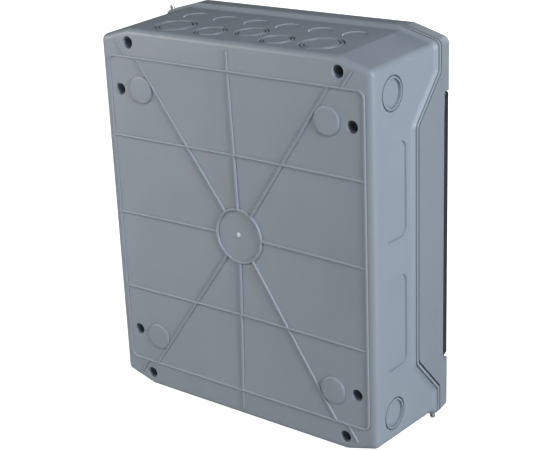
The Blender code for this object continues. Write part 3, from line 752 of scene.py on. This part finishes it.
def box_bores(bm):
    """Blind bores from the wall side with softened mouths, and the screw holes inside."""
    mouth = BORE_RADIUS + 0.0003
    entry = [(0, -0.004), (mouth, -0.004), (mouth, 0.0), (BORE_RADIUS, 0.0003)]
    rear = entry + [(0.0044, 0.0695), (0, 0.0700)]
    socket = [(0, 0.0735), (0.0048, 0.0735), (0.0048, POST_TIP - 0.0006), (0.0054, POST_TIP)]
    socket += [(0.0054, 0.092), (0, 0.092)]
    hole = entry + [(BORE_RADIUS, 0.0105), (0.0029, 0.0107), (0.0029, 0.0150), (0, 0.0150)]
    stand = [(0, 0.0060), (0.0018, 0.0060), (0.0018, 0.0180), (0, 0.0180)]
    for x, z in CORNERS:
        post = towards_door(x * COVER_POST[0], z * COVER_POST[1])
        revolve(bm, rear, post, 40)
        revolve(bm, socket, post, 40)
        revolve(bm, hole, towards_door(x * WALL_HOLE[0], z * WALL_HOLE[1]), 40)
        revolve(bm, stand, towards_door(x * FRAME_POST[0], z * FRAME_POST[1]), 24)


# how far the wall cutters stand out of the wall
CUT_ABOVE = 0.004


def groove(bm, matrix, outer, width=0.0017, depth=0.0019):
    """A ring-shaped cutter for a groove with drafted walls. The matrix's Z leaves the wall."""
    draft = width * 0.18
    profile = [(outer, CUT_ABOVE), (outer, 0.0), (outer - draft, -depth), (outer - width + draft, -depth)]
    profile += [(outer - width, 0.0), (outer - width, CUT_ABOVE)]
    revolve(bm, profile, matrix, 72)


def ring_knockout(bm, matrix, outer, inner, sunk=False):
    """Two concentric grooves, or one groove round a sunken disc that is deepest at its rim."""
    if sunk:
        groove(bm, matrix, outer, 0.0013, 0.0026)
        rim = inner + 0.0002
        disc = [(0, CUT_ABOVE), (rim, CUT_ABOVE), (rim, 0.0), (rim - 0.0001, -0.0025)]
        disc += [(rim - 0.0012, -0.0025), (rim - 0.0018, -0.0020), (0, -0.0020)]
        revolve(bm, disc, matrix, 72)
    else:
        groove(bm, matrix, outer)
        groove(bm, matrix, inner + 0.0005)


def slit(bm, matrix, half_length):
    """A short screwdriver slit across a knockout's disc."""
    size = Matrix.Diagonal((2 * half_length, 0.0013, 0.0048, 1.0))
    bmesh.ops.create_cube(bm, size=1.0, matrix=matrix @ Matrix.Translation((0, 0, 0.0013)) @ size)


def top_matrix(across, depth, end):
    """On the top (end 1) or bottom (end -1) wall, with Z along the drafted wall's own normal and X across."""
    normal = Vector((0, TOP_DRAFT, end)).normalized()
    right = Vector((1, 0, 0))
    turn = Matrix((right, normal.cross(right), normal)).transposed().to_4x4()
    return Matrix.Translation(place(across, depth, end * box_half_height(depth))) @ turn


def wall_knockouts(bm):
    """Ringed knockouts, shallow small ones near the lip, and sunken ones on the sides."""
    mouth = SMALL_RADIUS + 0.0004
    small = [(0, CUT_ABOVE), (mouth, CUT_ABOVE), (mouth, 0.0), (SMALL_RADIUS - 0.0002, -0.0007)]
    small += [(SMALL_RADIUS - 0.0006, -0.0009), (0, -0.0009)]
    for end in (-1, 1):
        for across, depth, outer, inner in KNOCKOUTS:
            for x in sorted({-across, across}):
                ring_knockout(bm, top_matrix(x, depth, end), outer, inner)
        for across in SMALL_KNOCKOUTS:
            for x in (-across, across):
                revolve(bm, small, top_matrix(x, SMALL_DEPTH, end), 64)
    depth, height, outer, inner = SIDE_KNOCKOUT
    for side in (-1, 1):
        for z in (-height, height):
            centre = place(side * box_half_width(depth), depth, z)
            ring_knockout(bm, facing(centre, (side, SIDE_DRAFT, 0)), outer, inner, sunk=True)


def knockout_slits(bm):
    for end in (-1, 1):
        for across, depth, _, inner in KNOCKOUTS:
            for x in sorted({-across, across}):
                slit(bm, top_matrix(x, depth, end), inner * 0.48)


def side_panels(bm):
    """Two shallow rounded fields on each side, one above the other, that follow the side's draft."""
    middle = sum(PANEL_DEPTHS) / 2
    half_depth = (PANEL_DEPTHS[1] - PANEL_DEPTHS[0]) / 2
    up = sum(PANEL_HEIGHTS) / 2
    half_up = (PANEL_HEIGHTS[1] - PANEL_HEIGHTS[0]) / 2
    for side in (-1, 1):

        def on_side(depth, height, level):
            return place(side * (box_half_width(depth) + level), depth, height)

        for end in (-1, 1):
            levels = []
            for level, grow in ((-0.0016, -0.0004), (0.0, 0.0), (0.0006, 0.0002)):
                half = (half_depth + grow, half_up + grow)
                outline = rounded_rectangle(*half, PANEL_RADIUS + grow, 8, (middle, end * up))
                levels.append((level, outline))
            stack(bm, levels, on_side)


def seal_frame(side):
    """Centre and outward direction of a sealing screw, square to the lip's chamfered corner."""
    low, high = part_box("sealing_screw_1" if side > 0 else "sealing_screw_2")
    run = LIP_HALF_WIDTH - CHAMFER_START
    outward = Vector((LIP_DROP, 0, run)).normalized() * side
    return (Vector(low) + Vector(high)) / 2 - outward * SCREWED_IN, outward


def make_back_box():
    bm = bmesh.new()
    box_walls(bm)
    shell = to_object("back_box", bm)
    combine(shell, inner_posts, "UNION", overlapping=True)
    combine(shell, rear_ribs, "UNION", overlapping=True)
    combine(shell, rear_discs, "UNION")
    combine(shell, box_bores)
    combine(shell, wall_knockouts)
    combine(shell, knockout_slits)
    combine(shell, side_panels)
    finish_piece(shell, "enclosure_grey", "enclosure", "base_shell")


# ----------------------------------------------------------------------------------- cover


def cover_walls(bm):
    """The cover's front, its skirt down to the joint line and the inner face of its plate."""
    lip, tall, front = lip_half_width, lip_half_height, front_half_width
    rings = []
    for angle in (90, 68, 45, 22, 0):
        turn = math.radians(angle)
        inset = COVER_ROUNDING * (1 - math.cos(turn))
        depth = COVER_DEPTH - COVER_ROUNDING * (1 - math.sin(turn))
        rings.append(level_outline(depth, front, tall, inset))
    for back, inset in ((0.0006, 0.0), (0.0002, 0.0001), (0.0, 0.0004), (0.0, SKIRT)):
        rings.append(seam_outline(-SEAM_GAP - back, lip, tall, inset))
    rings.append(level_outline(COVER_DEPTH - COVER_PLATE, front, tall, SKIRT))
    made = loft(bm, rings)
    bm.faces.new(made[0])
    bm.faces.new(made[-1])


def cover_floor(bm):
    """Blocks that become the door step, the device tub and the screw wells."""
    across, up = FRONT_BLOCK
    box(bm, (-across, across), (STEP_DEPTH - 0.0050, COVER_DEPTH - 0.0020), (-up, up))
    plain = rounded_rectangle(TUB_HALF_WIDTH + TUB_WALL, TUB_HALF_HEIGHT + TUB_WALL, 0.0055)
    stack(bm, [(TUB_DEPTH - TUB_WALL, plain), (STEP_DEPTH - 0.0010, plain)], on_front)
    well = [(0, 0.0915), (0.0086, 0.0915), (0.0090, 0.1045), (0, 0.1045)]
    for x, z in CORNERS:
        revolve(bm, well, towards_door(x * COVER_POST[0], z * COVER_POST[1]), 40)


def cover_ribs(bm):
    """Stiffeners behind the bands above and below the door."""
    for end in (-1, 1):
        span = sorted(end * height for height in STIFFENER_SPAN)
        for x in STIFFENERS:
            box(bm, (x - STIFFENER_HALF, x + STIFFENER_HALF), (0.0960, COVER_DEPTH - 0.0020), span)


def door_step(bm):
    """The step that the door closes into, right across the front."""
    profile = [
        (0.1300, STEP_FOOT - 0.0005),
        (COVER_DEPTH - 0.0002, STEP_FOOT - 0.0005),
        (COVER_DEPTH - 0.0010, STEP_FOOT),
        (STEP_DEPTH, STEP_FOOT),
        (STEP_DEPTH, STEP_TOP),
        (COVER_DEPTH - 0.0020, STEP_TOP),
        (COVER_DEPTH - 0.0008, STEP_TOP + 0.0008),
        (0.1300, STEP_TOP + 0.0008),
    ]
    stack(bm, [(-PAST_SIDE, profile), (PAST_SIDE, profile)], on_section)


def door_rebate(bm):
    """A deeper channel at both ends and along the foot of the step, which the door's skirt drops into."""
    across, foot = REBATE
    right = [(PAST_SIDE, STEP_FOOT), (PAST_SIDE, STEP_TOP), (across, STEP_TOP), (across, foot)]
    outline = right + [(-a, b) for a, b in reversed(right)]
    stack(bm, [(REBATE_DEPTH, outline), (COVER_DEPTH + 0.010, outline)], on_front)


def finger_scoop(bm):
    """A scoop under the door's foot, to lift it by."""
    half = (SCOOP_HALF_WIDTH, 0.0040)
    pocket(bm, half, 0.0030, (STEP_DEPTH + 0.0010, COVER_DEPTH), 0.0008, (0, STEP_FOOT - 0.0006))


def device_tub(bm):
    pocket(bm, (TUB_HALF_WIDTH, TUB_HALF_HEIGHT), 0.0040, (TUB_DEPTH, STEP_DEPTH), 0.0008)


def device_windows(bm):
    for row in (-ROW_HEIGHT, ROW_HEIGHT):
        half = (WINDOW_HALF_WIDTH, WINDOW_HALF_HEIGHT)
        pocket(bm, half, 0.0012, (TUB_DEPTH - 0.008, TUB_DEPTH), 0.0004, (0, row), 3)


def screw_wells(bm):
    """A well for each cover screw's head, with a clearance hole for its shank."""
    well = [(0, 0.090), (0.0040, 0.090), (0.0040, 0.0965), (0.0066, 0.0965)]
    well += [(0.0066, COVER_DEPTH - 0.0006), (0.0072, COVER_DEPTH), (0.0072, 0.112), (0, 0.112)]
    for x, z in CORNERS:
        revolve(bm, well, towards_door(x * COVER_POST[0], z * COVER_POST[1]), 48)


def hinge_lugs(bm):
    """Two lugs on the step that stand in the door's notches and hold its pins."""
    root = STEP_DEPTH - 0.0010
    section = arc((HINGE_DEPTH, HINGE_HEIGHT), 0.0028, -60, 190, 20)
    section += [(root, HINGE_HEIGHT + 0.0020), (root, HINGE_HEIGHT - 0.0026)]
    for side in (-1, 1):
        ends = [side * (LUG_PLACE - LUG_HALF_WIDTH), side * (LUG_PLACE + LUG_HALF_WIDTH)]
        stack(bm, [(end, section) for end in ends], on_section)


def pin_bore(bm, across, half_length):
    """A round hole for a hinge pin, along the hinge's axis."""
    profile = [(0, -half_length), (PIN_BORE, -half_length), (PIN_BORE, half_length), (0, half_length)]
    revolve(bm, profile, facing(place(across, HINGE_DEPTH, HINGE_HEIGHT), (1, 0, 0)), 20)


def lug_bores(bm):
    for side in (-1, 1):
        pin_bore(bm, side * LUG_PLACE, 0.0040)


def make_cover():
    bm = bmesh.new()
    cover_walls(bm)
    cover = to_object("cover", bm)
    combine(cover, cover_floor, "UNION", overlapping=True)
    combine(cover, cover_ribs, "UNION")
    combine(cover, door_step)
    combine(cover, door_rebate)
    combine(cover, finger_scoop)
    combine(cover, device_tub)
    combine(cover, device_windows)
    combine(cover, screw_wells)
    combine(cover, hinge_lugs, "UNION")
    combine(cover, lug_bores)
    # The cover gets the darker copy of the plastic, which carries painted shade.
    finish_piece(cover, "enclosure_grey", "cover", "front_cover", material=COVER_MATERIAL_PAINTED_SHADE)


# ------------------------------------------------------------------------------------ door


def door_section():
    """The door's section as (depth, height): rounded over the hinge, a pull at its slanted foot."""
    top = arc((HINGE_DEPTH, HINGE_HEIGHT), HINGE_RADIUS, 0, 180, 16)
    back = DOOR_SKIRT_BACK
    low = DOOR_BOTTOM
    pull = low + DOOR_SLANT
    foot = [(back, HINGE_HEIGHT - 0.0010), (back, low + 0.0006), (back + 0.0005, low)]
    foot += [(DOOR_FRONT - 0.0010, pull - 0.0002), (DOOR_FRONT - 0.0003, pull + 0.0003)]
    return top + foot + [(DOOR_FRONT, pull + 0.0010)]


def door_body(bm):
    """The door's section drawn out across the front, with softened ends."""
    section = door_section()
    edge = 0.0005
    middle = HINGE_DEPTH + 0.0002
    shrunk = []
    for depth, height in section:
        shrunk.append((depth + math.copysign(edge, middle - depth), height - math.copysign(edge, height)))
    half = DOOR_HALF_WIDTH
    levels = [(-half, shrunk), (-half + edge, section), (half - edge, section), (half, shrunk)]
    stack(bm, levels, on_section)


def door_hollow(bm):
    """The hollow behind the door's plate, and a notch at its top edge for each hinge lug."""
    low = DOOR_BOTTOM + DOOR_CHEEK
    high = HINGE_HEIGHT - HINGE_RADIUS - 0.0005
    centre = (0, (low + high) / 2)
    across = DOOR_HALF_WIDTH - DOOR_CHEEK
    up = (high - low) / 2
    ease = 0.0004
    plain = rounded_rectangle(across, up, 0.0015, 4, centre)
    wide = rounded_rectangle(across + ease, up + ease, 0.0015 + ease, 4, centre)
    back = DOOR_SKIRT_BACK
    levels = [(back - 0.003, wide), (back + 0.0001, wide), (back + 0.0006, plain)]
    stack(bm, levels + [(DOOR_FRONT - DOOR_PLATE, plain)], on_front)
    for side in (-1, 1):
        notch = sorted((side * 0.1240, side * 0.1290))
        heights = (HINGE_HEIGHT - 0.0056, HINGE_HEIGHT + 0.006)
        box(bm, notch, (back - 0.002, DOOR_FRONT + 0.002), heights)


def door_bores(bm):
    for side in (-1, 1):
        pin_bore(bm, side * 0.12975, 0.0083)


def make_door():
    bm = bmesh.new()
    door_body(bm)
    door = to_object("door", bm)
    combine(door, door_hollow, overlapping=True)
    combine(door, door_bores)
    finish_piece(door, "smoked_window", "door", "window_door")


# --------------------------------------------------------------------------------- screws


def make_cover_screw(number, corner):
    """A captive quarter-turn screw with a crowned, slotted head and a cross bar at its tip."""
    name = f"cover_screw_{number}"
    across, up = corner[0] * COVER_POST[0], corner[1] * COVER_POST[1]
    shank = [(0, 0.0760), (0.0028, 0.0760), (0.0032, 0.0764), (0.0032, 0.0968)]
    head = [(0.0059, 0.0968), (0.0062, 0.0971), (0.0062, 0.1014), (0.0060, 0.1019)]
    head += [(0.0052, 0.1022), (0.0030, 0.10235), (0, 0.1024)]
    bm = bmesh.new()
    revolve(bm, shank + head, towards_door(across, up), 48)
    screw = to_object(name + "_fine", bm)

    def cross_bar(bm):
        box(bm, (across - 0.0042, across + 0.0042), (0.0765, 0.0790), (up - 0.0014, up + 0.0014), 0.0003)

    def drive(bm):
        box(bm, (across - 0.0008, across + 0.0008), (0.1004, 0.1040), (up - 0.0080, up + 0.0080))

    combine(screw, cross_bar, "UNION")
    combine(screw, drive)
    finish_piece(screw, "screw_grey", name, name)


def make_sealing_screw(number, side):
    """A cheese-head screw in the lip, drilled across for a sealing wire."""
    name = f"sealing_screw_{number}"
    centre, outward = seal_frame(side)
    matrix = facing(centre, outward)
    half = 0.00455
    eye_place = centre + outward * 0.0022
    shank = [(0, -half), (0.0011, -half), (0.0013, -half + 0.0003), (0.0013, -0.0006)]
    head = [(0.0019, -0.0006), (0.0021, -0.0003), (0.0021, half - 0.0005), (0.0018, half), (0, half)]
    bm = bmesh.new()
    revolve(bm, shank + head, matrix, 32)
    screw = to_object(name + "_fine", bm)

    def eye(bm):
        profile = [(0, -0.005), (0.0008, -0.005), (0.0008, 0.005), (0, 0.005)]
        revolve(bm, profile, facing(eye_place, (0, 1, 0)), 20)

    def slot(bm):
        top = matrix @ Matrix.Translation((0, 0, half)) @ Matrix.Diagonal((0.0007, 0.006, 0.0016, 1))
        bmesh.ops.create_cube(bm, size=1.0, matrix=top)

    combine(screw, eye)
    combine(screw, slot)
    finish_piece(screw, "fastener_steel", "enclosure", name)


# ------------------------------------------------------------------------- carried-over nodes


def dress_nodes():
    """Gives every node's CAD shape its finished material, seen where no finer piece replaces it."""
    for entry in frame["record"]["subparts"]:
        node = frame["nodes"][entry["node"]]
        node.data.materials.clear()
        node.data.materials.append(MATERIALS[entry["material_slot"]])


# ------------------------------------------------------------------------- camera and light

CAMERA_PLACE = place(-0.64732, -0.76751, 0.37797)
CAMERA_RIGHT = Vector((-0.79301, -0.60801, -0.03819))
CAMERA_UP = Vector((0.18128, -0.29536, 0.93803))


def make_camera():
    """A long lens behind, above and to one side of the enclosure."""
    camera = bpy.data.objects.new("camera", bpy.data.cameras.new("camera"))
    camera.data.lens = 86.13
    camera.data.sensor_width = 36.0
    turn = Matrix((CAMERA_RIGHT, CAMERA_UP, CAMERA_RIGHT.cross(CAMERA_UP))).transposed().to_4x4()
    camera.matrix_world = Matrix.Translation(CAMERA_PLACE) @ turn
    camera.data.clip_start = 0.01
    bpy.context.scene.collection.objects.link(camera)
    bpy.context.scene.camera = camera


AMBIENT = 0.05
# name, direction from the enclosure, distance, width of the square lamp, power, colour
SOFTBOXES = (
    ("key_softbox", (0.70, 0.64, 0.30), 0.95, 0.30, 5.0, (1.0, 0.975, 0.92)),
    ("side_softbox", (-0.89, 0.22, 0.35), 1.8, 0.40, 30.5, (0.86, 0.93, 1.0)),
    ("top_softbox", (-0.40, 0.45, 0.80), 1.8, 0.50, 6.3, (0.84, 0.88, 1.0)),
    ("front_softbox", (0.12, -0.98, 0.10), 2.4, 1.2, 42, (1.0, 1.0, 1.0)),
)


def add_softbox(name, direction, distance, width, power, colour):
    """A square soft lamp that far from the middle of the enclosure, in that direction, turned towards it."""
    light = bpy.data.lights.new(name, "AREA")
    light.shape = "SQUARE"
    light.size = width
    light.energy = power
    light.color = colour
    lamp = bpy.data.objects.new(name, light)
    outward = Vector(direction).normalized()
    centre = Vector((0, 0, MIDDLE_Z)) + outward * distance
    lamp.matrix_world = Matrix.Translation(centre) @ outward.to_track_quat("Z", "Y").to_matrix().to_4x4()
    bpy.context.scene.collection.objects.link(lamp)


def white_to_the_eye(tree, strength, seen):
    """A strength that is higher where the camera looks straight at it than where it only gives light."""
    path = add_node(tree, "ShaderNodeLightPath")
    level = add_node(tree, "ShaderNodeMapRange", {"To Min": strength, "To Max": seen})
    tree.links.new(path.outputs["Is Camera Ray"], level.inputs["Value"])
    return level.outputs["Result"]


def make_stage():
    """A pale floor, a pale surround and the lamps."""
    bm = bmesh.new()
    bmesh.ops.create_circle(bm, cap_ends=True, segments=96, radius=12.0)
    floor = to_object("floor", bm)
    made, tree, shader = start_material("pale_floor")
    vary_colour(tree, shader, (0.55, 0.55, 0.555), 0.01, noise(tree, 1.5))
    shader.inputs["Roughness"].default_value = 0.9
    shader.inputs["Specular IOR Level"].default_value = 0.1
    shader.inputs["Emission Color"].default_value = (1.0, 1.0, 1.0, 1.0)
    tree.links.new(white_to_the_eye(tree, 0.0, 1.0), shader.inputs["Emission Strength"])
    floor.data.materials.append(made)

    world = bpy.data.worlds.new("studio")
    world.use_nodes = True
    tree = world.node_tree
    background = tree.nodes["Background"]
    background.inputs["Color"].default_value = (1.0, 1.0, 1.0, 1.0)
    tree.links.new(white_to_the_eye(tree, AMBIENT, 1.0), background.inputs["Strength"])
    bpy.context.scene.world = world

    for softbox in SOFTBOXES:
        add_softbox(*softbox)


def main():
    make_back_box()
    make_cover()
    make_door()
    for number, corner in enumerate(CORNERS, 1):
        make_cover_screw(number, corner)
    for number, side in enumerate((1, -1), 1):
        make_sealing_screw(number, side)
    dress_nodes()
    make_camera()
    make_stage()
    bpy.context.scene.view_settings.view_transform = "Standard"


main()
